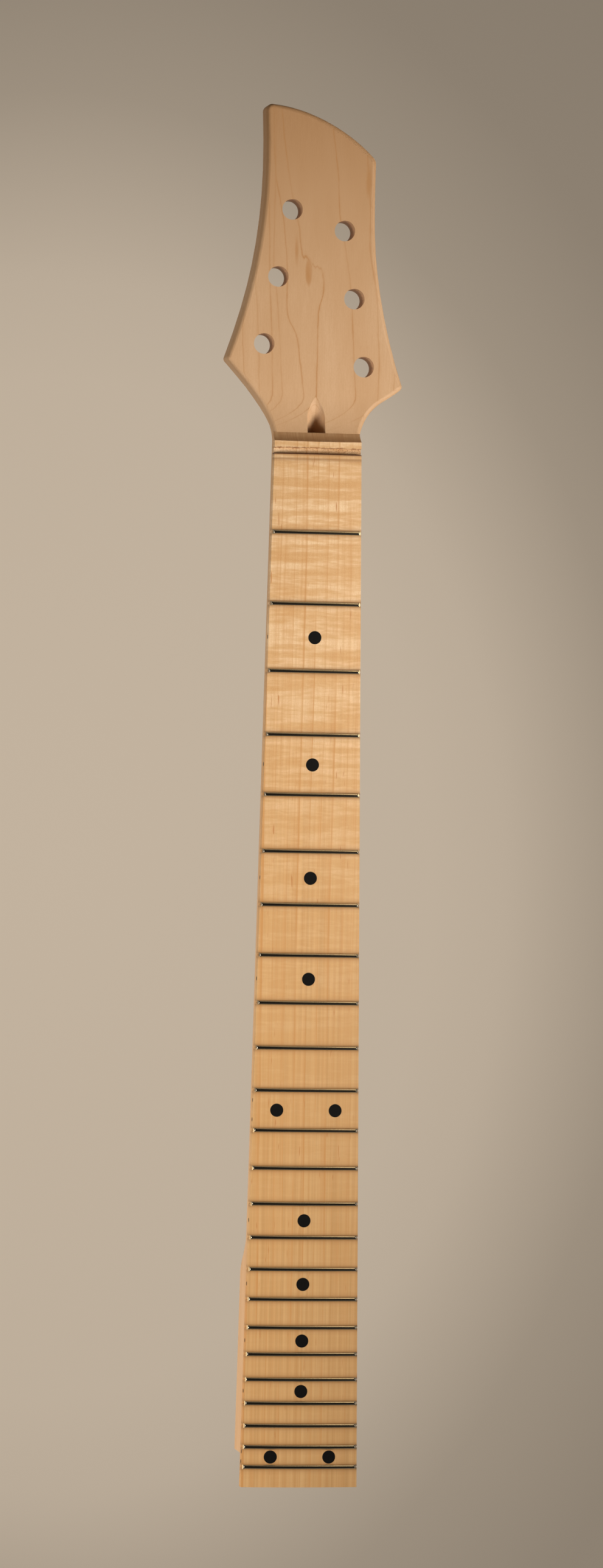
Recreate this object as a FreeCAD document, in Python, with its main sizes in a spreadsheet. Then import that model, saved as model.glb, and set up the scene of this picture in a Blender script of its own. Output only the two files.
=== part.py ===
import FreeCAD, Part
import Sketcher
import math
import os

from FreeCAD import Placement, Rotation, Vector

# An electric guitar neck: a one-piece maple neck with its headstock and heel, a separate
# flamed fingerboard, 24 frets, face and side dots, and a double-acting truss rod in its slot.
#
# Millimetres. The neck lies on its back: X runs across to the treble side, Y along the neck
# towards the headstock, Z out of the fingerboard. The origin is the centre of the flat face
# of the heel that is screwed to a body.
#
# Places along the neck are given from the nut line, where the strings' speaking length
# begins. A distance "back" is from there towards the headstock's tip.

os.makedirs("parts", exist_ok=True)
doc = FreeCAD.newDocument("guitar_neck")
sheet = doc.addObject("Spreadsheet::Sheet", "sizes")

# Driving dimensions

SIZES = [
    ("scale_length", 647.7, "nut line to bridge"),
    ("nut_from_heel", 437.1, "nut line to the centre of the heel's face"),
    ("nut_width", 42.5, "board width at the nut line"),
    ("end_width", 56.5, "board width at its lower end"),
    ("end_margin", 9.8, "board past the last fret"),
    ("board_thick", 6.35, "at the centre line"),
    ("board_radius", 305.0, "crown of the board, 12 inch"),
    ("nut_setback", 1.4, "slot's near edge behind the nut line"),
    ("nut_slot_width", 2.9, "slot for the string nut"),
    ("nut_slot_depth", 3.0, "from the board's top"),
    ("shelf_width", 3.0, "wood left behind the slot"),
    ("bevel_run", 4.6, "sloped end of the board, along the neck"),
    ("bevel_radius", 14.0, "hollow of that slope"),
    ("fret_width", 2.3, "crown"),
    ("fret_height", 1.1, "crown"),
    ("tang_width", 0.54, "below the crown"),
    ("tang_depth", 1.9, "below the crown"),
    ("slot_depth", 2.3, "fret slot below the board's top"),
    ("slot_play", 0.02, "slot wider than the tang, each side"),
    ("fret_inset", 0.35, "fret's foot short of the board's edge"),
    ("fret_bevel", 33.0, "slope of the fret's ends, degrees off upright"),
    ("seat_gap", 0.01, "crown above the board's top"),
    ("dot_diameter", 6.35, "face dot"),
    ("dot_depth", 1.8, "face dot"),
    ("dot_spread", 28.5, "between the two dots of a pair"),
    ("side_dot_diameter", 2.0, "side dot"),
    ("side_dot_depth", 2.6, "side dot"),
    ("side_dot_below", 3.3, "side dot's centre below the board's top"),
    ("octave_side_gap", 9.3, "between the two side dots at the twelfth fret"),
    ("last_side_gap", 4.7, "between the two side dots at the last fret"),
    ("dot_play", 0.02, "socket larger than its dot, all round"),
    ("heel_length", 85.0, "flat face along the neck"),
    ("heel_depth", 19.05, "wood under the board"),
    ("heel_edge", 1.5, "rounding along the heel's long edges"),
    ("heel_sweep", 20.0, "run where the shaft swells into the heel"),
    ("first_thick", 21.0, "shaft and board together at the first fret"),
    ("octave_thick", 22.8, "shaft and board together at the twelfth fret"),
    ("side_flat", 2.4, "upright strip of the shaft's side"),
    ("back_flat", 9.0, "width of the flat middle of the shaft's back"),
    ("head_thick", 14.0, "headstock"),
    ("face_drop", 9.5, "headstock's face below the board's top"),
    ("face_sweep", 18.5, "hollow run from the board's foot down to the face"),
    ("throat_start", 6.0, "where the shaft begins to swell, behind the nut line"),
    ("head_edge", 2.0, "rounding of the headstock's edges"),
    ("horn_round", 2.0, "headstock's two lower corners, seen from the front"),
    ("bass_tip_round", 3.0, "tip's bass corner, seen from the front"),
    ("treble_tip_round", 5.0, "tip's treble corner, seen from the front"),
    ("tuner_diameter", 10.0, "tuner hole"),
    ("tuner_pitch", 33.1, "between neighbours of a row"),
    ("bass_row_x", -13.2, "first hole of the bass row, across"),
    ("bass_row_back", 119.4, "first hole of the bass row"),
    ("bass_row_angle", 11.0, "row's lean off the centre line, degrees"),
    ("treble_row_x", 12.6, "first hole of the treble row, across"),
    ("treble_row_back", 109.8, "first hole of the treble row"),
    ("treble_row_angle", 9.1, "row's lean off the centre line, degrees"),
    ("screw_spacing_x", 38.1, "heel screws across"),
    ("screw_spacing_y", 50.8, "heel screws along"),
    ("screw_hole", 3.2, "pilot hole"),
    ("screw_depth", 15.0, "pilot hole"),
    ("trough_width", 8.7, "way in to the truss rod's nut"),
    ("trough_tip", 29.5, "trough's point behind the nut line"),
    ("pocket_front", 15.0, "end of the wide pocket, before the nut line"),
    ("rod_diameter", 5.0, "turning rod"),
    ("bar_width", 6.0, "fixed bar"),
    ("bar_thick", 3.0, "fixed bar"),
    ("rod_gap", 0.4, "between the bar and the rod"),
    ("rod_slot_play", 0.15, "slot wider than the bar, each side"),
    ("rod_lift", 0.1, "bar below the fingerboard"),
    ("rod_front", 446.0, "end of the rod's slot, before the nut line"),
    ("block_length", 12.0, "threaded block at the heel's end"),
    ("collar_length", 8.0, "collar block at the nut's end"),
    ("block_wall", 1.0, "blocks below the rod"),
    ("rod_nut_diameter", 8.0, "socket nut"),
    ("rod_nut_length", 13.0, "socket nut"),
    ("hex_key", 4.0, "across the flats of the socket"),
    ("hex_depth", 8.0, "socket"),
    ("turn_play", 0.05, "round rod in its blocks, all round"),
    ("nut_play", 0.3, "gap between the socket nut and the collar"),
    ("nut_recess", 1.0, "socket nut's mouth behind the nut line"),
]

for row, (alias, value, note) in enumerate(SIZES, start=1):
    sheet.set("A%d" % row, alias)
    sheet.set("B%d" % row, str(value))
    sheet.set("C%d" % row, note)
    sheet.setAlias("B%d" % row, alias)
doc.recompute()


def size(alias):
    return float(getattr(sheet, alias))


FRETS = 24
TUNERS_IN_ROW = 3
SINGLE_DOTS = (3, 5, 7, 9, 15, 17, 19, 21)
PAIRED_DOTS = (12, 24)

# Heights: the heel's face is at zero, the glue line at the heel's depth

NUT_Y = size("nut_from_heel")
GLUE_Z = size("heel_depth")
TOP_Z = GLUE_Z + size("board_thick")
FACE_Z = TOP_Z - size("face_drop")
HEAD_BACK_Z = FACE_Z - size("head_thick")
LAST_FRET = size("scale_length") * (1 - 2 ** (-FRETS / 12))
BOARD_RUN = LAST_FRET + size("end_margin")
BOARD_BACK = size("nut_setback") + size("nut_slot_width") + size("shelf_width")
FOOT_BACK = BOARD_BACK + size("bevel_run")
ROD_Z = GLUE_Z - size("rod_lift") - size("bar_thick") - size("rod_gap") - size("rod_diameter") / 2


def fret_run(number):
    return size("scale_length") * (1 - 2 ** (-number / 12))


def half_width(run):
    slope = (size("end_width") - size("nut_width")) / BOARD_RUN
    return (size("nut_width") + slope * run) / 2


def at(x, run, z=0.0):
    return Vector(x, NUT_Y - run, z)


def feature(name, shape):
    made = doc.addObject("Part::Feature", name)
    made.Label = name
    made.Shape = shape
    return made


# The same sizes as text, for the objects that are bound to the sheet

BOARD_TEXT = "(sizes.scale_length * (1 - 2^(-%d/12)) + sizes.end_margin)" % FRETS
BACK_TEXT = "(sizes.nut_setback + sizes.nut_slot_width + sizes.shelf_width)"
FOOT_TEXT = "(%s + sizes.bevel_run)" % BACK_TEXT
TOP_TEXT = "(sizes.heel_depth + sizes.board_thick)"
BAR_TEXT = "(sizes.heel_depth - sizes.rod_lift - sizes.bar_thick)"
ROD_TEXT = "(%s - sizes.rod_gap - sizes.rod_diameter / 2)" % BAR_TEXT
SLOT_TEXT = "(%s - sizes.rod_diameter / 2 - sizes.block_wall)" % ROD_TEXT


def run_text(number):
    return "(sizes.scale_length * (1 - 2^(-%s/12)))" % number


def between_text(number):
    # Half way between a fret and the one before it
    return "((%s + %s) / 2)" % (run_text(number - 1), run_text(number))


def wide_text(run):
    slope = "(sizes.end_width - sizes.nut_width) / 2 / %s" % BOARD_TEXT
    return "(sizes.nut_width / 2 + %s * (%s))" % (slope, run)


def y_text(run):
    return "sizes.nut_from_heel - (%s)" % run


def bind(made, sizes):
    for path, text in sizes.items():
        made.setExpression(path, text)
    return made


def primitive(kind, name, sizes, x="0", y="0", z="0", turn=None):
    made = doc.addObject("Part::" + kind, name)
    made.Label = name
    if turn is not None:
        made.Placement = Placement(Vector(), turn)
    bind(made, sizes)
    return bind(made, {"Placement.Base.x": x, "Placement.Base.y": y, "Placement.Base.z": z})


def joined(kind, name, base, tools):
    made = doc.addObject("Part::" + kind, name)
    made.Label = name
    if kind in ("Cut", "Common"):
        made.Base, made.Tool = base, tools
    else:
        made.Shapes = tools
    return made


ALONG_Y = Rotation(Vector(1, 0, 0), -90)
TO_BASS = Rotation(Vector(0, 1, 0), -90)
UPRIGHT = Rotation(Vector(1, 0, 0), 90)


# Neck: its outline seen from the front, as points across and behind the nut line

HEAD_OUTLINE = {
    "bass_throat": [(-21.9, 14.8), (-24.6, 21.8), (-28.6, 28.6), (-33.8, 35.3)],
    "bass_horn": (-44.0, 46.8),
    "bass_edge": [(-38.4, 63.3), (-32.6, 84.5), (-28.7, 105.8), (-26.6, 127.0), (-26.1, 148.3)],
    "tip_bass": (-26.8, 170.2),
    "tip_edge": [(-15.0, 168.8), (-4.6, 165.8), (9.0, 159.3), (18.8, 152.6)],
    "tip_treble": (27.6, 144.4),
    "treble_edge": [(27.4, 121.1), (28.2, 99.9), (32.3, 71.8), (37.4, 50.8)],
    "treble_horn": (42.5, 34.8),
    "treble_throat": [(22.6, 15.0), (25.4, 20.6), (30.2, 25.9), (35.4, 29.5)],
}
THROAT_START = size("throat_start")
THROAT_END = FOOT_BACK + size("face_sweep")
STRAIGHT_RUN = 3.0
NEAR = 0.01
HALVINGS = 50


def head_points(name):
    points = HEAD_OUTLINE[name]
    if isinstance(points, tuple):
        points = [points]
    return [at(x, -back) for x, back in points]


def spline(points):
    curve = Part.BSplineCurve()
    curve.interpolate(points)
    return curve


def throat_curve(side, name):
    # From the straight side of the shaft out to the horn
    straight = [THROAT_START, THROAT_START + STRAIGHT_RUN]
    points = [at(side * half_width(-back), -back) for back in straight]
    return spline(points + head_points(name + "_throat") + head_points(name + "_horn"))


def crossing(curve, back):
    # Where an outline curve crosses the line at this distance behind the nut line
    low, high = curve.FirstParameter, curve.LastParameter
    for _ in range(HALVINGS):
        middle = (low + high) / 2
        if curve.value(middle).y < NUT_Y + back:
            low = middle
        else:
            high = middle
    return curve.value(low)


BASS_THROAT = throat_curve(-1, "bass")
TREBLE_THROAT = throat_curve(1, "treble")


# Neck: sections square to it, of the wood under the board

def smooth(share):
    share = min(max(share, 0.0), 1.0)
    return share * share * (3 - 2 * share)


def mix(first, last, share):
    return first + (last - first) * share


def steps(start, end, count):
    return [mix(start, end, i / count) for i in range(count + 1)]


def quarter(start, corner, end):
    # A quarter of an ellipse whose end tangents meet at corner
    pull = 4 * (math.sqrt(2) - 1) / 3
    curve = Part.BezierCurve()
    curve.setPoles([start, start + (corner - start) * pull, end + (corner - end) * pull, end])
    return curve.toShape()


def line(start, end):
    return Part.LineSegment(start, end).toShape()


def section(run, left, right, depth, round_left, round_right, round_up):
    # Flat on top and at the back, upright at the sides, with a quarter ellipse at each corner
    low = GLUE_Z - depth
    top_left, top_right = at(left, run, GLUE_Z), at(right, run, GLUE_Z)
    side_left, side_right = at(left, run, low + round_up), at(right, run, low + round_up)
    flat_left, flat_right = at(left + round_left, run, low), at(right - round_right, run, low)
    return Part.Wire([
        line(top_left, top_right),
        line(top_right, side_right),
        quarter(side_right, at(right, run, low), flat_right),
        line(flat_right, flat_left),
        quarter(flat_left, at(left, run, low), side_left),
        line(side_left, top_left),
    ])


def shaft_depth(run):
    first = size("first_thick") - size("board_thick")
    octave = size("octave_thick") - size("board_thick")
    return mix(first, octave, (run - fret_run(1)) / (fret_run(12) - fret_run(1)))


def shaft_rounding(run, depth):
    return half_width(run) - size("back_flat") / 2, depth - size("side_flat")


def shaft_section(run):
    wide = half_width(run)
    depth = shaft_depth(run)
    across, up = shaft_rounding(run, depth)
    return section(run, -wide, wide, depth, across, across, up)


HEEL_FRONT = NUT_Y - size("heel_length") / 2
HEEL_END = NUT_Y + size("heel_length") / 2
SHAFT_END = HEEL_FRONT - size("heel_sweep")


def heel_section(run):
    # The shaft's round back turns into the heel's square one
    share = smooth((run - SHAFT_END) / size("heel_sweep"))
    wide = half_width(run)
    depth = mix(shaft_depth(run), size("heel_depth"), share)
    across, up = shaft_rounding(run, depth)
    across = mix(across, size("heel_edge"), share)
    up = mix(up, size("heel_edge"), share)
    return section(run, -wide, wide, depth, across, across, up)


def throat_section(back):
    # The shaft's round back opens out into the flat back of the headstock
    share = smooth((back - THROAT_START) / (THROAT_END - THROAT_START))
    depth = mix(shaft_depth(-back), GLUE_Z - HEAD_BACK_Z, share)
    across, up = shaft_rounding(-THROAT_START, depth)
    edge = size("head_edge")
    sides = []
    for curve in (BASS_THROAT, TREBLE_THROAT):
        below, above = crossing(curve, THROAT_END - NEAR), crossing(curve, THROAT_END + NEAR)
        lean = (above.x - below.x) / (above.y - below.y)
        sides.append((crossing(curve, back).x, mix(across, edge * math.hypot(1, lean), share)))
    (left, round_left), (right, round_right) = sides
    return section(-back, left, right, depth, round_left, round_right, mix(up, edge, share))


def loft(sections, straight):
    return Part.makeLoft(sections, True, straight)


SWELL_STEPS = 8
THROAT_STEPS = 10
swell_runs = steps(SHAFT_END, HEEL_FRONT, SWELL_STEPS)
throat_backs = steps(THROAT_START, THROAT_END, THROAT_STEPS)

shaft = loft([shaft_section(-THROAT_START), shaft_section(SHAFT_END)], True)
swell = loft([heel_section(run) for run in swell_runs], False)
throat = loft([throat_section(back) for back in throat_backs], False)


def edges_at(shape, height, beyond=-math.inf):
    # Edges that lie at one height, without those that run straight across
    found = []
    for edge in shape.Edges:
        box = edge.BoundBox
        level = box.ZMin > height - NEAR and box.ZMax < height + NEAR
        if level and box.YLength > NEAR and box.YMin > beyond - NEAR:
            found.append(edge)
    return found


wide_end, narrow_end = half_width(HEEL_END), half_width(HEEL_FRONT)
heel_corners = [at(-wide_end, HEEL_END), at(wide_end, HEEL_END),
                at(narrow_end, HEEL_FRONT), at(-narrow_end, HEEL_FRONT)]
heel_plan = Part.makePolygon(heel_corners + heel_corners[:1])
heel = Part.Face(heel_plan).extrude(Vector(0, 0, GLUE_Z))
heel = heel.makeFillet(size("heel_edge"), edges_at(heel, 0))


# Neck: the headstock's plate, from the end of the throat to the tip

def upper_part(curve):
    start = curve.parameter(crossing(curve, THROAT_END))
    return curve.toShape(start, curve.LastParameter)


def outline_edge(start, name, end):
    return spline(head_points(start) + head_points(name) + head_points(end)).toShape()


outline = Part.Wire(Part.__sortEdges__([
    upper_part(BASS_THROAT),
    outline_edge("bass_horn", "bass_edge", "tip_bass"),
    outline_edge("tip_bass", "tip_edge", "tip_treble"),
    outline_edge("tip_treble", "treble_edge", "treble_horn"),
    upper_part(TREBLE_THROAT),
    line(crossing(BASS_THROAT, THROAT_END), crossing(TREBLE_THROAT, THROAT_END)),
]))
plate = Part.Face(outline).extrude(Vector(0, 0, GLUE_Z - HEAD_BACK_Z))
plate.translate(Vector(0, 0, HEAD_BACK_Z))


def upright_at(shape, spot):
    # The upright edge over one corner of the outline
    def near(vertex):
        return math.hypot(vertex.X - spot.x, vertex.Y - spot.y) < NEAR
    return [edge for edge in shape.Edges if all(near(vertex) for vertex in edge.Vertexes)]


for name, rounding in (("bass_horn", "horn_round"), ("treble_horn", "horn_round"),
                       ("tip_bass", "bass_tip_round"), ("tip_treble", "treble_tip_round")):
    plate = plate.makeFillet(size(rounding), upright_at(plate, head_points(name)[0]))


plate = plate.makeFillet(size("head_edge"), edges_at(plate, HEAD_BACK_Z))

# The plate's rounded edge and the throat's meet within this distance
EDGE_MATCH = 0.02
wood = plate.fuse([throat, shaft, swell, heel], EDGE_MATCH).removeSplitter()

# Neck: the hollow run from the board's foot down to the headstock's face

drop = GLUE_Z - FACE_Z
sweep = size("face_sweep")
sweep_radius = (sweep ** 2 + drop ** 2) / (2 * drop)

# Well past the headstock's sides and tip
REACH = 2 * max(abs(point.x) for point in head_points("bass_horn") + head_points("treble_horn"))
HEAD_LIMIT = 2 * (head_points("tip_bass")[0].y - NUT_Y)


def sweep_point(back):
    rise = sweep_radius - math.sqrt(sweep_radius ** 2 - (THROAT_END - back) ** 2)
    return at(-REACH, -back, FACE_Z + rise)


face_end = at(-REACH, -HEAD_LIMIT, FACE_Z)
high_end = at(-REACH, -HEAD_LIMIT, TOP_Z)
high_foot = at(-REACH, -FOOT_BACK, TOP_Z)
above_face = Part.Face(Part.Wire([
    Part.Arc(sweep_point(FOOT_BACK), sweep_point((FOOT_BACK + THROAT_END) / 2),
             sweep_point(THROAT_END)).toShape(),
    line(sweep_point(THROAT_END), face_end),
    line(face_end, high_end),
    line(high_end, high_foot),
    line(high_foot, sweep_point(FOOT_BACK)),
])).extrude(Vector(2 * REACH, 0, 0))
wood = wood.cut(above_face)
wood = wood.makeFillet(size("head_edge"), edges_at(wood, FACE_Z, NUT_Y + FOOT_BACK))
neck_wood = feature("neck_wood", wood)


# Neck: the trough and pocket that lead to the truss rod's nut, as a round-nosed cutter leaves
# them while it sinks into the headstock's face

TROUGH_HALF = size("trough_width") / 2
TROUGH_FLOOR = ROD_Z - TROUGH_HALF
FLOOR_DIP = 1.6
RAMP_STEPS = 8


def trough_floor(back):
    # Falls slowly at the trough's point and faster towards the pocket
    way = (size("trough_tip") - back) / (size("trough_tip") - FOOT_BACK)
    return mix(FACE_Z, TROUGH_FLOOR, way ** FLOOR_DIP)


def trough_section(back, floor):
    # Upright walls over a half-round floor
    half, low = TROUGH_HALF, floor + TROUGH_HALF
    return Part.Wire([
        line(at(-half, -back, TOP_Z), at(half, -back, TOP_Z)),
        line(at(half, -back, TOP_Z), at(half, -back, low)),
        quarter(at(half, -back, low), at(half, -back, floor), at(0, -back, floor)),
        quarter(at(0, -back, floor), at(-half, -back, floor), at(-half, -back, low)),
        line(at(-half, -back, low), at(-half, -back, TOP_Z)),
    ])


ramp_backs = steps(size("trough_tip"), FOOT_BACK, RAMP_STEPS)
ramp = loft([trough_section(back, trough_floor(back)) for back in ramp_backs], False)
pocket = loft([trough_section(back, TROUGH_FLOOR)
               for back in (FOOT_BACK, -size("pocket_front"))], True)
trough = feature("trough", ramp.fuse(pocket))

# Neck: bound hollows

tuner_holes = []
for side, sign in (("bass", "-"), ("treble", "+")):
    for index in range(TUNERS_IN_ROW):
        shift = "%d * sizes.tuner_pitch" % index
        lean = "sizes.%s_row_angle" % side
        tuner_holes.append(primitive(
            "Cylinder", "%s_tuner_hole_%d" % (side, index + 1),
            {"Radius": "sizes.tuner_diameter / 2", "Height": "3 * sizes.head_thick"},
            x="sizes.%s_row_x %s %s * sin(%s)" % (side, sign, shift, lean),
            y="sizes.nut_from_heel + sizes.%s_row_back - %s * cos(%s)" % (side, shift, lean),
            z="%s - sizes.face_drop - 2 * sizes.head_thick" % TOP_TEXT))

screw_holes = []
for across in (-1, 1):
    for along in (-1, 1):
        screw_holes.append(primitive(
            "Cylinder", "screw_hole_%d" % (len(screw_holes) + 1),
            {"Radius": "sizes.screw_hole / 2", "Height": "sizes.screw_depth"},
            x="%d * sizes.screw_spacing_x / 2" % across,
            y="%d * sizes.screw_spacing_y / 2" % along))

rod_slot = primitive(
    "Box", "rod_slot",
    {"Length": "sizes.bar_width + 2 * sizes.rod_slot_play",
     "Width": "sizes.rod_front - sizes.pocket_front + sizes.bar_width",
     "Height": "sizes.heel_depth - %s + sizes.bar_thick" % SLOT_TEXT},
    x="-sizes.bar_width / 2 - sizes.rod_slot_play",
    y=y_text("sizes.rod_front"),
    z=SLOT_TEXT + " - sizes.rod_slot_play")

hollows = joined("MultiFuse", "neck_hollows", None, tuner_holes + screw_holes + [rod_slot, trough])
neck = joined("Cut", "neck", neck_wood, hollows)


# Fingerboard: its plan is a sketch, the rest of its shape is cut from that slab

def body(name):
    made = doc.addObject("PartDesign::Body", name)
    made.Label = name
    return made


def sketch_on(owner, role, name):
    plane = [item for item in owner.Origin.OriginFeatures if item.Role == role][0]
    made = owner.newObject("Sketcher::SketchObject", name)
    made.AttachmentSupport = (plane, [""])
    made.MapMode = "FlatFace"
    return made


def tie(sketch, kind, number, value, text):
    # A dimension bound to the sheet; points are measured from the sketch's origin
    if kind == "Radius":
        made = Sketcher.Constraint(kind, number, value)
    else:
        made = Sketcher.Constraint(kind, -1, 1, number, 1, value)
    index = sketch.addConstraint(made)
    sketch.setExpression("Constraints[%d]" % index, text)


def chain(sketch, corners, closing_arc=None):
    # Lines from corner to corner, each corner a pair of (value, text) across and up
    points = [Vector(across[0], up[0], 0) for across, up in corners]
    count = len(points) if closing_arc is None else len(points) - 1
    for index in range(count):
        ends = points[index], points[(index + 1) % len(points)]
        sketch.addGeometry(Part.LineSegment(*ends), False)
    if closing_arc is not None:
        middle, radius, radius_text = closing_arc
        sketch.addGeometry(Part.Arc(points[-1], middle, points[0]), False)
    for index in range(count):
        tie(sketch, "DistanceX", index, *corners[index][0])
        tie(sketch, "DistanceY", index, *corners[index][1])
        if index + 1 < count or closing_arc is None:
            following = (index + 1) % count
            sketch.addConstraint(Sketcher.Constraint("Coincident", index, 2, following, 1))
    return sketch


board_plan = body("board_plan")
foot_half = half_width(-FOOT_BACK)
foot_text = wide_text("-" + FOOT_TEXT)
foot_y = (NUT_Y + FOOT_BACK, "sizes.nut_from_heel + " + FOOT_TEXT)
end_half = size("end_width") / 2
end_y = (NUT_Y - BOARD_RUN, y_text(BOARD_TEXT))
plan = chain(sketch_on(board_plan, "XY_Plane", "board_outline"), [
    ((-end_half, "-sizes.end_width / 2"), end_y),
    ((end_half, "sizes.end_width / 2"), end_y),
    ((foot_half, foot_text), foot_y),
    ((-foot_half, "-" + foot_text), foot_y),
])
slab = board_plan.newObject("PartDesign::Pad", "slab")
slab.Profile = plan
bind(slab, {"Length": "sizes.board_thick"})
bind(board_plan, {"Placement.Base.z": "sizes.heel_depth"})

crown = primitive(
    "Cylinder", "crown",
    {"Radius": "sizes.board_radius", "Height": "%s + %s" % (BOARD_TEXT, FOOT_TEXT)},
    y=y_text(BOARD_TEXT), z=TOP_TEXT + " - sizes.board_radius", turn=ALONG_Y)
crowned = joined("Common", "crowned_slab", board_plan, crown)

# The sloped end is hollow: a cylinder across the neck, through the slope's foot and top
chord = "(sizes.bevel_run ^ 2 + sizes.board_thick ^ 2)"
reach = "sqrt(sizes.bevel_radius ^ 2 / %s - 0.25)" % chord
end_slope = primitive(
    "Cylinder", "end_slope",
    {"Radius": "sizes.bevel_radius", "Height": "2 * sizes.end_width"},
    x="-sizes.end_width",
    y="%s - sizes.bevel_run / 2 + sizes.board_thick * %s" % (foot_y[1], reach),
    z="sizes.heel_depth + sizes.board_thick / 2 + sizes.bevel_run * %s" % reach,
    turn=Rotation(Vector(0, 1, 0), 90))

nut_slot = primitive(
    "Box", "nut_slot",
    {"Length": "2 * sizes.end_width", "Width": "sizes.nut_slot_width", "Height": "sizes.board_thick"},
    x="-sizes.end_width",
    y="sizes.nut_from_heel + sizes.nut_setback",
    z=TOP_TEXT + " - sizes.nut_slot_depth")

# Fret slots follow the crown: saw cuts that stop on a cylinder under the board's top
EDGE_FALL = "(sizes.board_radius - sqrt(sizes.board_radius ^ 2 - sizes.end_width ^ 2 / 4))"
slot_width = "(sizes.tang_width + 2 * sizes.slot_play)"
saw_cuts = []
for number in range(1, FRETS + 1):
    saw_cuts.append(primitive(
        "Box", "saw_cut_%02d" % number,
        {"Length": "2 * sizes.end_width", "Width": slot_width, "Height": "sizes.board_thick"},
        x="-sizes.end_width",
        y="%s - %s / 2" % (y_text(run_text(number)), slot_width),
        z=TOP_TEXT + " - sizes.slot_depth - " + EDGE_FALL))
all_cuts = joined("MultiFuse", "saw_cuts", None, saw_cuts)
slot_floor = primitive(
    "Cylinder", "slot_floor",
    {"Radius": "sizes.board_radius - sizes.slot_depth", "Height": BOARD_TEXT},
    y=y_text(BOARD_TEXT), z=TOP_TEXT + " - sizes.board_radius", turn=ALONG_Y)
fret_slots = joined("Cut", "fret_slots", all_cuts, slot_floor)


# Dots: each with the socket that it fills

def face_dot(name, number, x):
    spot = {"x": x, "y": y_text(between_text(number))}
    blank = primitive(
        "Cylinder", name + "_blank",
        {"Radius": "sizes.dot_diameter / 2", "Height": "2 * sizes.dot_depth"},
        z=TOP_TEXT + " - sizes.dot_depth", **spot)
    joined("Common", name, blank, crown)
    return primitive(
        "Cylinder", name + "_socket",
        {"Radius": "sizes.dot_diameter / 2 + sizes.dot_play", "Height": "2 * sizes.dot_depth"},
        z=TOP_TEXT + " - sizes.dot_depth - sizes.dot_play", **spot)


def side_dot(name, run):
    level = TOP_TEXT + " - sizes.side_dot_below"
    inner = "-%s + sizes.side_dot_depth" % wide_text(run)
    blank = primitive(
        "Cylinder", name + "_blank",
        {"Radius": "sizes.side_dot_diameter / 2", "Height": "2 * sizes.side_dot_depth"},
        x=inner, y=y_text(run), z=level, turn=TO_BASS)
    joined("Common", name, blank, board_plan)
    return primitive(
        "Cylinder", name + "_socket",
        {"Radius": "sizes.side_dot_diameter / 2 + sizes.dot_play", "Height": "2 * sizes.side_dot_depth"},
        x=inner + " + sizes.dot_play", y=y_text(run), z=level, turn=TO_BASS)


sockets = []
dot_names = []
for number in SINGLE_DOTS:
    dot_names += ["dot_%02d" % number, "side_dot_%02d" % number]
    sockets.append(face_dot("dot_%02d" % number, number, "0"))
    sockets.append(side_dot("side_dot_%02d" % number, between_text(number)))
for number, gap in zip(PAIRED_DOTS, ("sizes.octave_side_gap", "sizes.last_side_gap")):
    for side, sign in (("bass", "-"), ("treble", "")):
        dot_names.append("dot_%02d_%s" % (number, side))
        sockets.append(face_dot(dot_names[-1], number, sign + "sizes.dot_spread / 2"))
    for side, sign in (("upper", "-"), ("lower", "+")):
        dot_names.append("side_dot_%02d_%s" % (number, side))
        sockets.append(side_dot(dot_names[-1], "%s %s %s / 2" % (between_text(number), sign, gap)))

board_cuts = joined("MultiFuse", "board_cuts", None, [end_slope, nut_slot, fret_slots] + sockets)
fingerboard = joined("Cut", "fingerboard", crowned, board_cuts)


# Frets: crown and tang turned about the axis of the board's crown, ends sloped off

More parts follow.
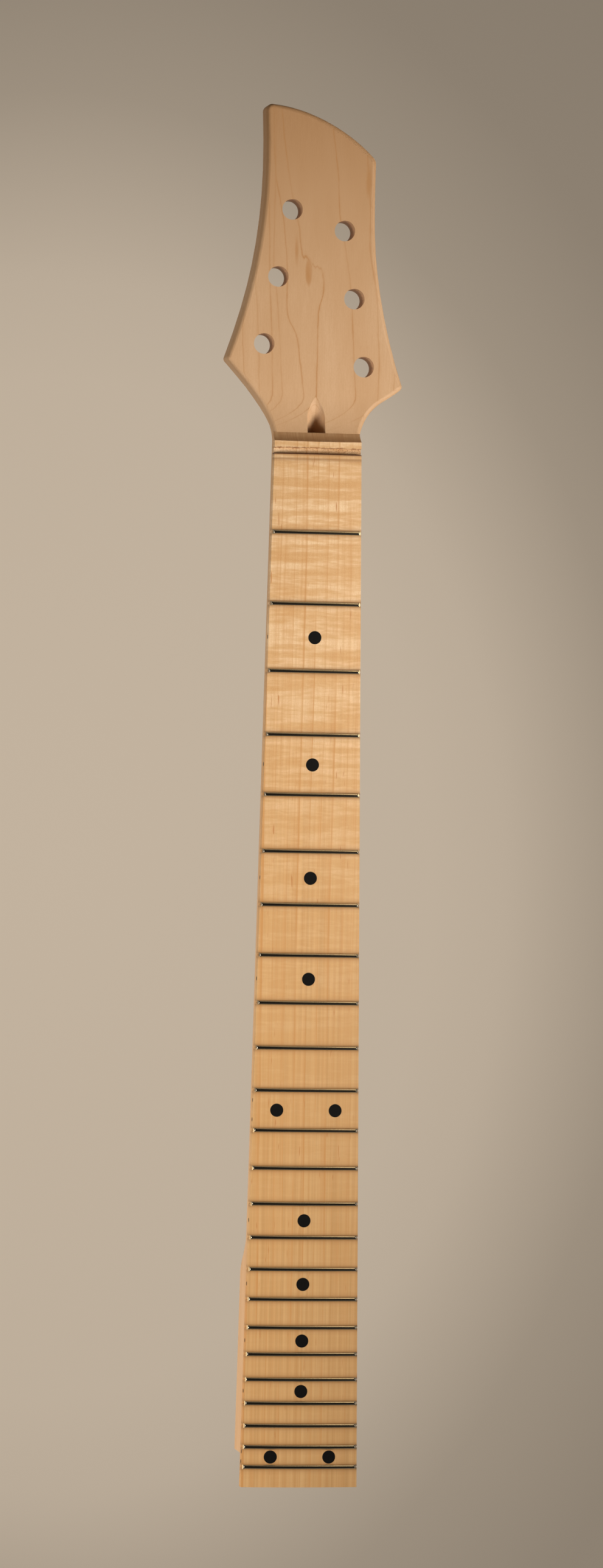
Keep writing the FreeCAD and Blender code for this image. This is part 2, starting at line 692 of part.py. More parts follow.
def fret(number):
    name = "fret_%02d" % number
    run = run_text(number)
    base = size("board_radius") + size("seat_gap")
    base_text = "sizes.board_radius + sizes.seat_gap"
    half, half_text = size("fret_width") / 2, "sizes.fret_width / 2"
    tang, tang_text = size("tang_width") / 2, "sizes.tang_width / 2"
    low = (base - size("tang_depth"), base_text + " - sizes.tang_depth")
    level = (base, base_text)
    height = size("fret_height")
    radius = (half ** 2 + height ** 2) / (2 * height)
    radius_text = "(%s ^ 2 / 4 + %s ^ 2) / 2 / %s" % (
        "sizes.fret_width", "sizes.fret_height", "sizes.fret_height")

    wire = body(name + "_wire")
    profile = chain(sketch_on(wire, "YZ_Plane", name + "_profile"), [
        ((-half, "-" + half_text), level),
        ((-tang, "-" + tang_text), level),
        ((-tang, "-" + tang_text), low),
        ((tang, tang_text), low),
        ((tang, tang_text), level),
        ((half, half_text), level),
    ], closing_arc=(Vector(0, base + height, 0), radius, radius_text))
    arc = profile.GeometryCount - 1
    profile.addConstraint(Sketcher.Constraint("Coincident", arc - 1, 2, arc, 1))
    profile.addConstraint(Sketcher.Constraint("Coincident", arc, 2, 0, 1))
    tie(profile, "DistanceX", arc, half, half_text)
    tie(profile, "DistanceY", arc, *level)
    tie(profile, "Radius", arc, radius, radius_text)
    turned = wire.newObject("PartDesign::Revolution", name + "_turned")
    turned.Profile = profile
    turned.ReferenceAxis = (profile, ["H_Axis"])
    turned.Midplane = True
    foot = "(%s - sizes.fret_inset)" % wide_text(run)
    bind(turned, {"Angle": "2 * asin(%s / sizes.board_radius)" % foot})
    bind(wire, {"Placement.Base.y": y_text(run),
                "Placement.Base.z": TOP_TEXT + " - sizes.board_radius"})

    fall = "(sizes.board_radius - sqrt(sizes.board_radius ^ 2 - %s ^ 2))" % foot
    depth = "(2 * sizes.tang_depth)"
    tall = "(%s + 2 * sizes.fret_height)" % fall
    low_half = "(%s + %s * tan(sizes.fret_bevel))" % (foot, depth)
    high_half = "(%s - %s * tan(sizes.fret_bevel))" % (foot, tall)
    ends = primitive(
        "Wedge", name + "_ends",
        {"Xmin": "-" + low_half, "Xmax": low_half, "X2min": "-" + high_half, "X2max": high_half,
         "Ymin": "-" + depth, "Ymax": tall,
         "Zmin": "-sizes.fret_width", "Zmax": "sizes.fret_width",
         "Z2min": "-sizes.fret_width", "Z2max": "sizes.fret_width"},
        y=y_text(run), z="%s - %s" % (TOP_TEXT, fall), turn=UPRIGHT)
    joined("Common", name, wire, ends)
    return name


fret_names = [fret(number) for number in range(1, FRETS + 1)]

# Truss rod: a fixed bar over a rod that turns in two blocks, with a socket nut on its end

BAR_FRONT = "(sizes.rod_front - sizes.rod_slot_play)"
COLLAR_BACK = "(sizes.nut_recess - sizes.rod_nut_length - sizes.nut_play)"
BLOCK_TALL = "(%s - %s)" % (BAR_TEXT, SLOT_TEXT)

primitive("Box", "truss_bar",
          {"Length": "sizes.bar_width", "Width": BAR_FRONT + " + " + COLLAR_BACK,
           "Height": "sizes.bar_thick"},
          x="-sizes.bar_width / 2", y=y_text(BAR_FRONT), z=BAR_TEXT)


def rod_block(name, length, y):
    blank = primitive("Box", name + "_blank",
                      {"Length": "sizes.bar_width", "Width": length, "Height": BLOCK_TALL},
                      x="-sizes.bar_width / 2", y=y, z=SLOT_TEXT)
    bore = primitive("Cylinder", name + "_bore",
                     {"Radius": "sizes.rod_diameter / 2 + sizes.turn_play", "Height": "3 * %s" % length},
                     y="%s - %s" % (y, length), z=ROD_TEXT, turn=ALONG_Y)
    joined("Cut", name, blank, bore)


rod_block("truss_heel_block", "sizes.block_length", y_text(BAR_FRONT))
rod_block("truss_collar", "sizes.collar_length",
          "sizes.nut_from_heel + %s - sizes.collar_length" % COLLAR_BACK)

primitive("Cylinder", "truss_rod",
          {"Radius": "sizes.rod_diameter / 2",
           "Height": "%s + %s + sizes.nut_play - sizes.turn_play" % (BAR_FRONT, COLLAR_BACK)},
          y=y_text(BAR_FRONT) + " + sizes.turn_play", z=ROD_TEXT, turn=ALONG_Y)

nut_mouth = "sizes.nut_from_heel + sizes.nut_recess"
barrel = primitive("Cylinder", "truss_nut_barrel",
                   {"Radius": "sizes.rod_nut_diameter / 2", "Height": "sizes.rod_nut_length"},
                   y=nut_mouth + " - sizes.rod_nut_length", z=ROD_TEXT, turn=ALONG_Y)
socket = primitive("Prism", "truss_nut_socket",
                   {"Circumradius": "sizes.hex_key / sqrt(3)", "Height": "2 * sizes.hex_depth"},
                   y=nut_mouth + " - sizes.hex_depth", z=ROD_TEXT, turn=ALONG_Y)
joined("Cut", "truss_nut", barrel, socket)

# Every piece is checked, then written

PIECES = (["neck", "fingerboard"] + fret_names + sorted(dot_names)
          + ["truss_bar", "truss_heel_block", "truss_collar", "truss_rod", "truss_nut"])

doc.recompute()
for item in doc.Objects:
    if "Invalid" in item.State or "Error" in item.State:
        raise RuntimeError("failed: %s %s" % (item.Label, item.State))
for name in PIECES:
    found = doc.getObjectsByLabel(name)
    shape = found[0].Shape
    if len(found) != 1 or shape.isNull() or not shape.isValid() or len(shape.Solids) != 1:
        raise RuntimeError("not one sound solid: " + name)
for name in PIECES:
    doc.getObjectsByLabel(name)[0].Shape.exportStep("parts/%s.step" % name)
whole = [doc.getObjectsByLabel(name)[0].Shape for name in PIECES]
box = Part.Compound(whole).BoundBox
print("%d pieces, %.1f x %.1f x %.1f mm" % (len(PIECES), box.XLength, box.YLength, box.ZLength))
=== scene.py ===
# %% [markdown]
# # An electric guitar neck
#
# A bare neck before it gets any lacquer: a flat-sawn maple shaft and headstock, a fingerboard
# of flamed maple, 24 frets, black dots, and a truss rod hidden in between. The shapes come
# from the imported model, so most of this lesson is about wood and polished metal: how grain
# runs through a block, why flame runs across it, and what a fret mirrors.

# %% The frame
import math

import bmesh
import bpy
from mathutils import Matrix, Vector


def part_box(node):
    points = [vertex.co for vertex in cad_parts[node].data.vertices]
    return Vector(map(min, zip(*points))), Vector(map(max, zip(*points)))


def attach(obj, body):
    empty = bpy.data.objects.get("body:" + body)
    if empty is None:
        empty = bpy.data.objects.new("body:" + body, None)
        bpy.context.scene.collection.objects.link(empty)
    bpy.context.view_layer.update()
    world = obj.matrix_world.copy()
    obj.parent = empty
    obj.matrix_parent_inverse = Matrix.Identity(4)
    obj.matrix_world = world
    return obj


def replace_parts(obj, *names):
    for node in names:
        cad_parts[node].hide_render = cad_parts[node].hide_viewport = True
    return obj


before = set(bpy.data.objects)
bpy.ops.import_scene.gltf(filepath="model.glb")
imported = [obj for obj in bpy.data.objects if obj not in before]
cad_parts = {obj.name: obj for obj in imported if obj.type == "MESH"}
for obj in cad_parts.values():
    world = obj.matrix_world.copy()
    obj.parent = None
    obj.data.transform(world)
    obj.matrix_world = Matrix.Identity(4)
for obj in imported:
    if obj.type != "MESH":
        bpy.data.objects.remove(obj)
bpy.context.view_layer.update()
MM = 0.001

for node in ("neck", "fingerboard"):
    low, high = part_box(node)
    print(node, "from", [round(v / MM, 1) for v in low], "to", [round(v / MM, 1) for v in high])

# %% [markdown]
# ## Camera
#
# The photograph looks straight down from nearly three metres through a long lens, from a
# little to the bass side. That slant shows the bass edge of the heel and the inner walls
# of the tuner holes. A camera is easiest to place by where it stands and what it looks at.
# Its roll comes last: the neck leans by about one degree in the picture.

# %% Camera
CAMERA_PLACE = Vector((-0.4860, 0.2892, 2.9109))
CAMERA_TARGET = Vector((-0.0052, 0.2798, 0.0254))
CAMERA_ROLL = math.radians(1.067)
SENSOR = 36.0
LENS = 139.75


def look_at(place, target, roll):
    back = (place - target).normalized()
    right = Vector((0, 1, 0)).cross(back).normalized()
    turn = Matrix((right, back.cross(right), back)).transposed().to_4x4()
    return Matrix.Translation(place) @ turn @ Matrix.Rotation(roll, 4, "Z")


lens = bpy.data.cameras.new("camera")
lens.sensor_fit = "VERTICAL"
lens.sensor_height = SENSOR
lens.lens = LENS
camera = bpy.data.objects.new("camera", lens)
camera.matrix_world = look_at(CAMERA_PLACE, CAMERA_TARGET, CAMERA_ROLL)
bpy.context.scene.collection.objects.link(camera)
bpy.context.scene.camera = camera
bpy.context.scene.view_settings.view_transform = "Standard"
print("camera stands", round((CAMERA_PLACE - CAMERA_TARGET).length, 2), "m away")

# %% [markdown]
# ## Building materials from small pieces
#
# A procedural material is a chain of small nodes. Four helpers keep the chains readable:
# one makes a node and fills or links its inputs, and the others are arithmetic, noise and
# a ramp. Wood needs noise that is stretched along the fibres, so the place of a point is
# always measured in millimetres and divided by the size that the pattern has across, along
# and through the board. Those three numbers are what place() is given.

# %% Node helpers
EVEN_SIZE = (1.0, 1.0, 1.0)
MIX_SHARE, MIX_FIRST, MIX_SECOND = 0, 6, 7  # the colour sockets of a Mix node


def new_material(name):
    made = bpy.data.materials.new(name)
    made.use_nodes = True
    made.node_tree.nodes.clear()
    return made, made.node_tree


def fill(socket, value, tree):
    if isinstance(value, bpy.types.NodeSocket):
        tree.links.new(value, socket)
    elif isinstance(value, tuple) and len(value) == 3 and socket.type == "RGBA":
        socket.default_value = (*value, 1.0)
    else:
        socket.default_value = value


def add(tree, kind, inputs=None, **settings):
    made = tree.nodes.new("ShaderNode" + kind)
    for name, value in settings.items():
        setattr(made, name, value)
    for name, value in (inputs or {}).items():
        fill(made.inputs[name], value, tree)
    return made


def calc(tree, operation, first, second=0.0, third=0.0):
    inputs = {0: first, 1: second, 2: third}
    return add(tree, "Math", inputs, operation=operation).outputs[0]


def place(tree, size=EVEN_SIZE, centre=(0.0, 0.0, 0.0)):
    # Object coordinates about a centre, divided by a size; both are in millimetres
    where = add(tree, "TexCoord").outputs["Object"]
    scale = tuple(1 / (MM * s) for s in size)
    shift = tuple(-c * MM * s for c, s in zip(centre, scale))
    inputs = {"Vector": where, "Location": shift, "Scale": scale}
    return add(tree, "Mapping", inputs).outputs[0]


def noise(tree, vector, detail=2.0, rough=0.5, warp=0.0):
    inputs = {"Vector": vector, "Scale": 1.0, "Detail": detail, "Roughness": rough,
              "Distortion": warp}
    return add(tree, "TexNoise", inputs).outputs[0]


def ramp(tree, value, stops):
    # stops are (value, tone) or (value, colour)
    made = add(tree, "ValToRGB", {"Fac": value})
    elements = made.color_ramp.elements
    while len(elements) < len(stops):
        elements.new(1.0)
    for element, (position, shade) in zip(elements, stops):
        element.position = position
        element.color = (*shade, 1.0) if isinstance(shade, tuple) else (shade, shade, shade, 1.0)
    return made.outputs[0]


def mix(tree, share, first, second, mode="MIX"):
    # share 0 gives the first colour, 1 the second
    made = add(tree, "Mix", data_type="RGBA", blend_type=mode)
    for index, value in ((MIX_SHARE, share), (MIX_FIRST, first), (MIX_SECOND, second)):
        fill(made.inputs[index], value, tree)
    return made.outputs[2]


def swing(tree, value, reach):
    # Turns 0..1 into -reach..reach
    return calc(tree, "MULTIPLY_ADD", value, 2 * reach, -reach)


def clothe(name, material):
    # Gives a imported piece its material
    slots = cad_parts[name].data.materials
    slots.clear()
    slots.append(material)


def finish_with(tree, inputs, height=None, depth=0.0):
    shader = add(tree, "BsdfPrincipled", inputs)
    if height is not None:
        bump = add(tree, "Bump", {"Height": height, "Distance": depth * MM, "Strength": 1.0})
        tree.links.new(bump.outputs[0], shader.inputs["Normal"])
    output = add(tree, "OutputMaterial")
    tree.links.new(shader.outputs[0], output.inputs["Surface"])


print("helpers ready; one millimetre is", MM, "of Blender's metres")

# %% [markdown]
# ## The neck's maple
#
# Growth rings are sheets that run through the whole block, so their lines on the face, the
# side and the back of the headstock have to belong together. That comes for free if the
# ring number is computed from the place in space, and not painted face by face. This blank
# is flat-sawn: its rings lie nearly level and rise slowly towards the bass side, which
# spreads them out wide on the face and packs them on the side. Where the face curves up to
# the fingerboard the saw cuts up through the sheets, and the lines sweep sideways.
#
# The rings that cross the face are drawn one by one, each through a few places read off the
# photograph. All others, on the sides and the back, follow at an even rate.

# %% Colours and rings of the neck
MAPLE_PALE = (0.665, 0.430, 0.250)
MAPLE_DEEP = (0.560, 0.325, 0.160)
MAPLE_TIP_SHADE = (0.480, 0.255, 0.110)
TIP_SHADE_FROM, TIP_SHADE_TO = 515.0, 600.0
RING_LINE = (0.500, 0.250, 0.095)
RING_GAP = 7.6
RING_RISE = 9.0
RING_WANDER = 8.0
RING_SHAKE = 0.55
RING_HALO = 1.15
FACE_HEIGHT = 15.9
GRAIN_FROM, GRAIN_TO = 440.0, 610.0
GRAIN_REACH = 45.0
# Each line's (along, across) in millimetres, from the nut up, and its strength
RING_PATHS = [
    ([(465, -27.7), (497, -28.8), (521, -30.9), (560, -39.4)], 0.6),
    ([(465, -21.2), (500, -22.4), (525, -23.7), (553, -24.4), (575, -25.9), (605, -28.9)], 0.75),
    ([(465, -16.4), (480, -17.3), (508, -19.4), (530, -21.9)], 0.5),
    ([(465, -5.7), (487, -8.7), (496, -10.2), (506, -14.8), (530, -15.4), (551, -17.5),
      (575, -21.8), (605, -23.2)], 0.8),
    ([(465, 0.1), (506, 0.4), (520, 2.7), (527, 1.9), (531, -3.9), (535, -7.6), (549, -10.0),
      (562, -13.0), (580, -16.2), (605, -19.2)], 1.0),
    ([(465, 19.6), (490, 17.9), (508, 16.9), (525, 15.2), (539, 12.9), (553, 10.3), (575, 8.8),
      (605, 4.6)], 0.9),
    ([(465, 30.2), (481, 30.5), (506, 29.5), (519, 28.4), (537, 25.3), (563, 24.7), (581, 23.2),
      (605, 20.6)], 0.7),
]
# Each mark's centre and size in millimetres
FIGURE = ((-3.0, 530.0, 15.9), (8.5, 9.0, 12.0))
FIGURE_TEETH = 9.0
DAGGER = ((-4.7, 526.5, 15.9), (2.3, 9.5, 12.0))
STAINS = [((24.0, 571.0, 15.9), (2.6, 13.0, 12.0)), ((-10.8, 537.0, 15.9), (1.5, 12.0, 12.0))]

print(len(RING_PATHS), "ring lines are drawn, and others follow", RING_GAP, "mm apart")

# %% [markdown]
# A ring line is where a value that changes across the wood meets the value of the line. The
# value is the place across, plus the height times how steeply the sheets rise, plus a little
# shaking, so that one line on the face turns into its own line on the side. A Float Curve
# node holds each drawn line: it gives the place across for the place along. Near the curly
# figure the value is shaken hard, which makes the line's teeth.

# %% Ring lines
def drawn_line(tree, run, points):
    # A smooth line through the places, as millimetres across
    made = add(tree, "FloatCurve", {"Value": run})
    line = made.mapping.curves[0]
    for index, (along, across) in enumerate(points):
        where = ((along - GRAIN_FROM) / (GRAIN_TO - GRAIN_FROM), 0.5 + 0.5 * across / GRAIN_REACH)
        point = line.points[index] if index < 2 else line.points.new(*where)
        point.location = where
        point.handle_type = "AUTO_CLAMPED"
    made.mapping.extend = "HORIZONTAL"
    made.mapping.update()
    return swing(tree, made.outputs[0], GRAIN_REACH)


def spot(tree, centre, size):
    # 1 at the centre, 0 at the size's distance
    return add(tree, "TexGradient", {0: place(tree, size, centre)},
               gradient_type="SPHERICAL").outputs[1]


def outer_rings(tree, field, first, last):
    # Lines at an even rate, beyond the first and the last drawn one
    beyond = calc(tree, "MAXIMUM", calc(tree, "SUBTRACT", first, field),
                  calc(tree, "SUBTRACT", field, last))
    wander = swing(tree, noise(tree, place(tree, (60, 120, 40)), 1.0), RING_WANDER)
    beyond = calc(tree, "ADD", calc(tree, "MAXIMUM", beyond, 0.0), calc(
        tree, "MULTIPLY", wander, calc(tree, "DIVIDE", beyond, 3 * RING_GAP)))
    uneven = add(tree, "CombineXYZ", {0: calc(tree, "DIVIDE", beyond, 11.0)}).outputs[0]
    beyond = calc(tree, "ADD", beyond, swing(tree, noise(tree, uneven, 1.0), 3.0))
    share = calc(tree, "FRACT", calc(tree, "DIVIDE", beyond, RING_GAP))
    spread = ramp(tree, share, [(0.0, 0.2), (0.03, 0.0), (0.70, 0.0), (0.90, 0.10),
                                (0.955, 0.35), (0.975, 0.8), (0.99, 0.8), (1.0, 0.2)])
    return calc(tree, "MULTIPLY", spread, calc(tree, "GREATER_THAN", beyond, 4.0))


def ring_lines(tree):
    across, along, up = add(tree, "SeparateXYZ", {0: place(tree)}).outputs
    level = calc(tree, "MULTIPLY_ADD", up, RING_RISE, -FACE_HEIGHT * RING_RISE)
    shake = swing(tree, noise(tree, place(tree, (2.2, 8, 3)), 4.0, 0.7), RING_SHAKE)
    figure = spot(tree, *FIGURE)
    teeth = calc(tree, "MULTIPLY", figure, swing(tree, noise(tree, place(tree, (1.5, 26, 5)), 2.0),
                                                 FIGURE_TEETH))
    field = calc(tree, "ADD", calc(tree, "ADD", across, level), calc(tree, "ADD", shake, teeth))

    run = calc(tree, "DIVIDE", calc(tree, "SUBTRACT", along, GRAIN_FROM), GRAIN_TO - GRAIN_FROM)
    paths = [drawn_line(tree, run, points) for points, _ in RING_PATHS]
    swell = noise(tree, place(tree, (4, 7, 4)), 2.0, 0.7)
    halo = calc(tree, "MULTIPLY_ADD", figure, 2.2 * RING_HALO,
                calc(tree, "MULTIPLY_ADD", swell, 1.5 * RING_HALO, 0.25 * RING_HALO))
    drawn = 0.0
    for line, (_, strength) in zip(paths, RING_PATHS):
        gap = calc(tree, "ABSOLUTE", calc(tree, "SUBTRACT", field, line))
        shade = ramp(tree, calc(tree, "DIVIDE", gap, halo),
                     [(0.0, strength), (0.12, 0.85 * strength), (0.32, 0.2 * strength),
                      (0.6, 0.07 * strength), (1.0, 0.0)])
        drawn = calc(tree, "MAXIMUM", shade, drawn)
    dagger = ramp(tree, calc(tree, "MULTIPLY_ADD", shake, 0.35, spot(tree, *DAGGER)),
                  [(0.18, 0.0), (0.45, 0.75), (0.8, 0.95)])
    drawn = calc(tree, "MAXIMUM", drawn, dagger)
    for centre, size in STAINS:
        stain = calc(tree, "MULTIPLY_ADD", shake, 0.5, spot(tree, centre, size))
        drawn = calc(tree, "MAXIMUM", drawn, ramp(tree, stain, [(0.25, 0.0), (0.75, 0.75)]))
    return calc(tree, "MAXIMUM", drawn, outer_rings(tree, field, paths[0], paths[-1]))


print("a ring line fades out about", RING_HALO, "mm from its middle")

# %% [markdown]
# Between the rings the maple is nearly plain: soft clouds, fine pores along the fibres and grit,
# all of them a little deeper in tone than the rest. The tip is browner, which is painted shade for
# the light that falls off there. The bare wood has no lacquer, so it is dull, with a bump of a few
# hundredths of a millimetre. Off the face the lines fade, because the sawn sides show them less
# than the sanded face does.

# %% The neck's maple
def pores(tree, across, along):
    # Short fine streaks along the fibres
    return noise(tree, place(tree, (across, along, across)), 4.0, 0.6)


def maple_finish():
    made, tree = new_material("bare_maple")
    patch = ramp(tree, noise(tree, place(tree, (9, 24, 9)), 2.0), [(0.30, 0.35), (0.6, 1.0)])
    height = add(tree, "SeparateXYZ", {0: place(tree)}).outputs[2]
    off_face = calc(tree, "ABSOLUTE", calc(tree, "SUBTRACT", height, FACE_HEIGHT))
    on_face = add(tree, "MapRange", {0: off_face, 1: 0.2, 2: 2.0, 3: 1.0, 4: 0.45}).outputs[0]
    line = calc(tree, "MULTIPLY", calc(tree, "MULTIPLY", ring_lines(tree), patch), on_face)
    streak = pores(tree, 0.5, 9.0)
    grit = noise(tree, place(tree, (0.25, 1.1, 0.25)), 3.0, 0.65)
    cloud = noise(tree, place(tree, (14, 60, 14)), 2.0)
    along = add(tree, "SeparateXYZ", {0: place(tree)}).outputs[1]
    # Painted shade: the maple darkens towards the headstock's tip, where less light falls.
    tip_shade_share = add(tree, "MapRange", {0: along, 1: TIP_SHADE_FROM, 2: TIP_SHADE_TO}).outputs[0]
    wood = mix(tree, ramp(tree, cloud, [(0.35, 0.0), (0.65, 0.5)]), MAPLE_PALE, MAPLE_DEEP)
    wood = mix(tree, calc(tree, "MULTIPLY", tip_shade_share, 0.85), wood, MAPLE_TIP_SHADE)
    wood = mix(tree, ramp(tree, streak, [(0.40, 0.0), (0.72, 0.40)]), wood, MAPLE_DEEP)
    wood = mix(tree, ramp(tree, grit, [(0.40, 0.0), (0.75, 0.45)]), wood, MAPLE_DEEP)
    wood = mix(tree, line, wood, RING_LINE)
    rough = calc(tree, "MULTIPLY_ADD", streak, 0.16, 0.46)
    relief = pores(tree, 0.16, 3.5)
    finish_with(tree, {"Base Color": wood, "Roughness": rough, "Specular IOR Level": 0.30},
                relief, 0.03)
    return made


maple = maple_finish()
clothe("neck", maple)
print("the neck's maple has", len(maple.node_tree.nodes), "nodes")

# %% [markdown]
# ## The fingerboard's flamed maple
#
# The fingerboard is cut the other way, with its rings upright, so it shows straight fine
# lines along its length. Its fibres grew in waves, and each wave tips them towards the
# light or away from it. That is flame: soft bands across the grain. It is strong near the
# headstock and dies out towards the heel, where the growth bands show more clearly instead.
# Dark flecks are short bits of mineral, drawn out along the fibres.

# %% Bands and flame
BOARD_PALE = (0.900, 0.680, 0.440)
BOARD_MID = (0.730, 0.475, 0.252)
BOARD_HEEL_SHADE = (0.565, 0.330, 0.134)
BOARD_DEEP = (0.600, 0.330, 0.130)
BOARD_LINE = (0.560, 0.275, 0.092)
BOARD_STRIPE_PALE = (0.680, 0.430, 0.200)
BOARD_STRIPE_DEEP = (0.500, 0.280, 0.105)
FLECK = (0.480, 0.190, 0.055)
LINE_GAP = 5.6
FINE_GAP = 2.3
FLAME_FROM = 60.0
FLAME_TO = 400.0


def board_bands(tree, across, gap):
    # Upright growth bands: each deepens slowly across its width and ends at a thin line
    wander = swing(tree, noise(tree, place(tree, (40, 150, 40)), 1.0), 2.0)
    shake = swing(tree, noise(tree, place(tree, (2, 22, 2)), 2.0), 0.22)
    field = calc(tree, "ADD", calc(tree, "ADD", across, wander), shake)
    uneven = add(tree, "CombineXYZ", {0: calc(tree, "DIVIDE", field, 6.5)}).outputs[0]
    field = calc(tree, "ADD", field, swing(tree, noise(tree, uneven, 2.0, 0.7), 4.2))
    share = calc(tree, "FRACT", calc(tree, "DIVIDE", field, gap))
    strength = ramp(tree, noise(tree, place(tree, (2.2, 70, 6)), 2.0), [(0.36, 0.25), (0.62, 1.0)])
    deepening = ramp(tree, share, [(0.0, 0.0), (0.15, 0.04), (0.90, 0.36), (0.93, 0.95),
                                   (0.965, 0.95), (1.0, 0.0)])
    return calc(tree, "MULTIPLY", deepening, strength)


def flame(tree, along):
    # Blotchy bright bars that lie nearly square across the board
    broad = noise(tree, place(tree, (40, 4.2, 40), (0, 2.0, 0)), 1.0, 0.5, 0.25)
    bars = noise(tree, place(tree, (9, 1.4, 9)), 4.0, 0.66, 0.35)
    shine = calc(tree, "MULTIPLY_ADD", broad, 0.52, calc(tree, "MULTIPLY", bars, 0.48))
    run = calc(tree, "DIVIDE", calc(tree, "SUBTRACT", along, FLAME_FROM), FLAME_TO - FLAME_FROM)
    return shine, ramp(tree, run, [(0.0, 0.10), (0.45, 0.35), (0.8, 0.85), (1.0, 1.0)])


print("flame grows from", FLAME_FROM, "to", FLAME_TO, "mm along the neck")

# %% [markdown]
# The saw that cut the string nut's slot left ragged burns along the upper wall and a peppered floor
# between the walls. A thin dark line runs along the lower wall. The steep end of the board beyond
# it is end grain, browner and finely streaked, and its colour also holds painted shade, because
# that end faces away from the light.

# %% Marks at the nut's slot
SLOT_LOW = 438.5
SLOT_HIGH = 441.4
SHELF_END = 444.4
WALL_HALF = 0.30
LOW_WALL_DARK = (0.105, 0.036, 0.012)
BURN = (0.300, 0.125, 0.040)
END_GRAIN_AND_SHADE = (0.540, 0.295, 0.135)


def band_of(tree, value, low, high, soft):
    # 1 between low and high, 0 outside, with soft edges
    rise = add(tree, "MapRange", {0: value, 1: low - soft, 2: low + soft}).outputs[0]
    fall = add(tree, "MapRange", {0: value, 1: high - soft, 2: high + soft}).outputs[0]
    return calc(tree, "SUBTRACT", rise, fall)


def slot_marks(tree, wood, across, along):
    ragged = noise(tree, place(tree, (1.1, 0.9, 1.1)), 3.0, 0.7)
    edge = swing(tree, ragged, 0.65)
    reach = calc(tree, "ADD", along, edge)
    gaps = ramp(tree, noise(tree, place(tree, (2.6, 3, 3)), 3.0, 0.7), [(0.40, 0.1), (0.55, 0.9)])
    burnt = band_of(tree, reach, SLOT_HIGH - 0.35, SLOT_HIGH + WALL_HALF, 0.16)
    wood = mix(tree, calc(tree, "MULTIPLY", burnt, gaps), wood, BURN)

    grains = noise(tree, place(tree, (0.45, 0.4, 0.45)), 2.0)
    pepper = ramp(tree, grains, [(0.50, 0.0), (0.60, 0.7)])
    side = add(tree, "MapRange", {0: across, 1: -8.0, 2: 10.0, 3: 0.45, 4: 1.0}).outputs[0]
    inside = band_of(tree, along, SLOT_LOW, SLOT_HIGH, 0.1)
    strength = calc(tree, "MULTIPLY", calc(tree, "MULTIPLY", pepper, inside), side)
    wood = mix(tree, strength, wood, BURN)

    # A thin dark line along the lower wall.
    wavy = calc(tree, "MULTIPLY_ADD", edge, 0.12, along)
    low_wall_line = band_of(tree, wavy, SLOT_LOW - WALL_HALF, SLOT_LOW + WALL_HALF, 0.10)
    wood = mix(tree, low_wall_line, wood, LOW_WALL_DARK)

    # The steep end: end grain's browner streaks together with painted shade, as that end faces away
    # from the light.
    slope = calc(tree, "GREATER_THAN", along, SHELF_END + 0.15)
    streak = noise(tree, place(tree, (0.8, 30, 30)), 3.0, 0.7)
    streak = ramp(tree, streak, [(0.35, 0.55), (0.65, 1.0)])
    return mix(tree, calc(tree, "MULTIPLY", slope, streak), wood, END_GRAIN_AND_SHADE)


print("the slot is", round(SLOT_HIGH - SLOT_LOW, 1), "mm wide")

# %% [markdown]
# The board is painted a little darker close to each fret: painted shade, where the fret keeps light
# off the wood. Frets stand at equal steps of the logarithm of the string's length, so one formula
# finds the nearest.

# %% Painted shade along the frets
STRING_LENGTH = 647.7
NUT_LINE = 437.1
FRETS_PER_OCTAVE = 12.0
FRET_COUNT = 24
FRET_PAINTED_SHADE = (0.300, 0.150, 0.055)
SHADE_REACH = 6.0
# (distance from the fret's middle as a share of the reach, strength)
FRET_PAINTED_SHADES = [(0.0, 0.0), (0.19, 0.75), (0.27, 0.42), (0.40, 0.14), (0.65, 0.0)]


def painted_fret_shade(tree, along):
    # Painted shade on the board beside each fret.
    # A string that is pressed here keeps the length left, and that gives the fret's number
    left = calc(tree, "ADD", along, STRING_LENGTH - NUT_LINE)
    number = calc(tree, "MULTIPLY", FRETS_PER_OCTAVE, calc(
        tree, "LOGARITHM", calc(tree, "DIVIDE", STRING_LENGTH, left), 2.0))
    off = swing(tree, calc(tree, "FRACT", calc(tree, "ADD", number, 0.5)), 0.5)
    away = calc(tree, "MULTIPLY", calc(tree, "ABSOLUTE", off),
                calc(tree, "MULTIPLY", left, math.log(2) / FRETS_PER_OCTAVE / SHADE_REACH))
    within = calc(tree, "LESS_THAN", number, FRET_COUNT + 0.5)
    return calc(tree, "MULTIPLY", ramp(tree, away, FRET_PAINTED_SHADES), within)


print("the shade ends", round(FRET_PAINTED_SHADES[-1][0] * SHADE_REACH, 1), "mm from a fret's middle")
